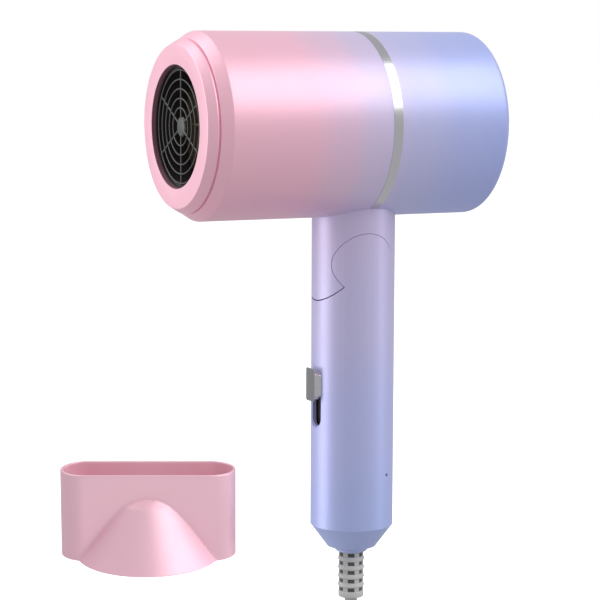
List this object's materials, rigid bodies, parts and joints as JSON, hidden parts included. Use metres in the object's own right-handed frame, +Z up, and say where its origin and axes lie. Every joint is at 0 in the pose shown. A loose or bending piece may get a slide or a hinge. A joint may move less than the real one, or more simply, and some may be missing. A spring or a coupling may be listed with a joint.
{
  "type": "hair dryer",
  "caption": "Folding hand-held hair dryer with a round barrel, a straight handle, a slide switch, a coiled cord and a separate slot nozzle.",
  "frame": {"origin": "middle of the grip, on the handle's axis", "axes": "+Z up the handle to the head; the head's axis is along X, air outlet towards -X; +Y is across the dryer"},
  "size_m": [0.2167, 0.112, 0.3029],
  "materials": {
    "coat_pink": "satin paint",
    "coat_blue": "satin paint",
    "coat_lilac": "satin paint",
    "nozzle_pink": "satin",
    "dark_plastic": "moulded",
    "white_plastic": "moulded",
    "grille_metal": "dark grey",
    "dark_mesh": "woven wire",
    "silver": "satin chrome",
    "steel": "plain",
    "mica": "mica sheet",
    "ceramic": "ceramic",
    "circuit_board": "solder mask",
    "capacitor_blue": "gloss",
    "wire_sheath": "silicone sheath",
    "black_rubber": "matte",
    "cord_grey": "matte"
  },
  "bodies": {
    "handle": {"handle_tube": "coat_lilac", "end_cap": "coat_blue", "hinge_pin": "steel", "hinge_washers": "steel", "chassis": "white_plastic", "chassis_screw": "steel", "circuit_board": "circuit_board", "board_parts": "capacitor_blue", "switch_body": "dark_plastic", "handle_wires": "wire_sheath", "cord_clamp": "dark_plastic", "clamp_screws": "steel", "strain_relief": "cord_grey", "cord_lead": "cord_grey", "cord_coil": "cord_grey", "cord_tie": "black_rubber", "cord_tail": "cord_grey", "plug_body": "cord_grey", "plug_pins": "silver"},
    "head": {"nose_ring": "coat_pink", "outlet_collar": "dark_plastic", "outlet_grille": "grille_metal", "nose_magnets": "steel", "front_shell": "coat_pink", "silver_band": "silver", "rear_shell": "coat_blue", "rear_grille": "coat_blue", "inlet_mesh": "dark_mesh", "heat_tube": "mica", "heater_boards": "mica", "heater_coils": "steel", "thermostat": "ceramic", "thermal_fuse": "steel", "fan_duct": "dark_plastic", "duct_screws": "steel", "motor": "steel", "motor_mount": "black_rubber", "head_wires": "wire_sheath", "neck": "coat_lilac"},
    "fan": {"motor_shaft": "steel", "fan_impeller": "dark_plastic"},
    "switch": {"switch_slider": "dark_plastic", "switch_knob": "silver"},
    "nozzle": {"nozzle": "nozzle_pink", "nozzle_magnets": "steel"}
  },
  "joints": [
    {"name": "head_fold", "type": "hinge", "parent": "handle", "child": "head", "pos_m": [-0.002, 0, 0.06], "axis": [0, -1, 0], "range_deg": [0, 90]},
    {"name": "fan_spin", "type": "hinge", "parent": "head", "child": "fan", "pos_m": [0.02, 0, 0.1213], "axis": [-1, 0, 0], "continuous": true},
    {"name": "switch_slide", "type": "slide", "parent": "handle", "child": "switch", "axis": [0, 0, -1], "range_m": [0, 0.0116]},
    {"name": "nozzle_away", "type": "slide", "parent": "handle", "child": "nozzle", "axis": [-1, 0, 0], "range_m": [0, 0.06]}
  ]
}
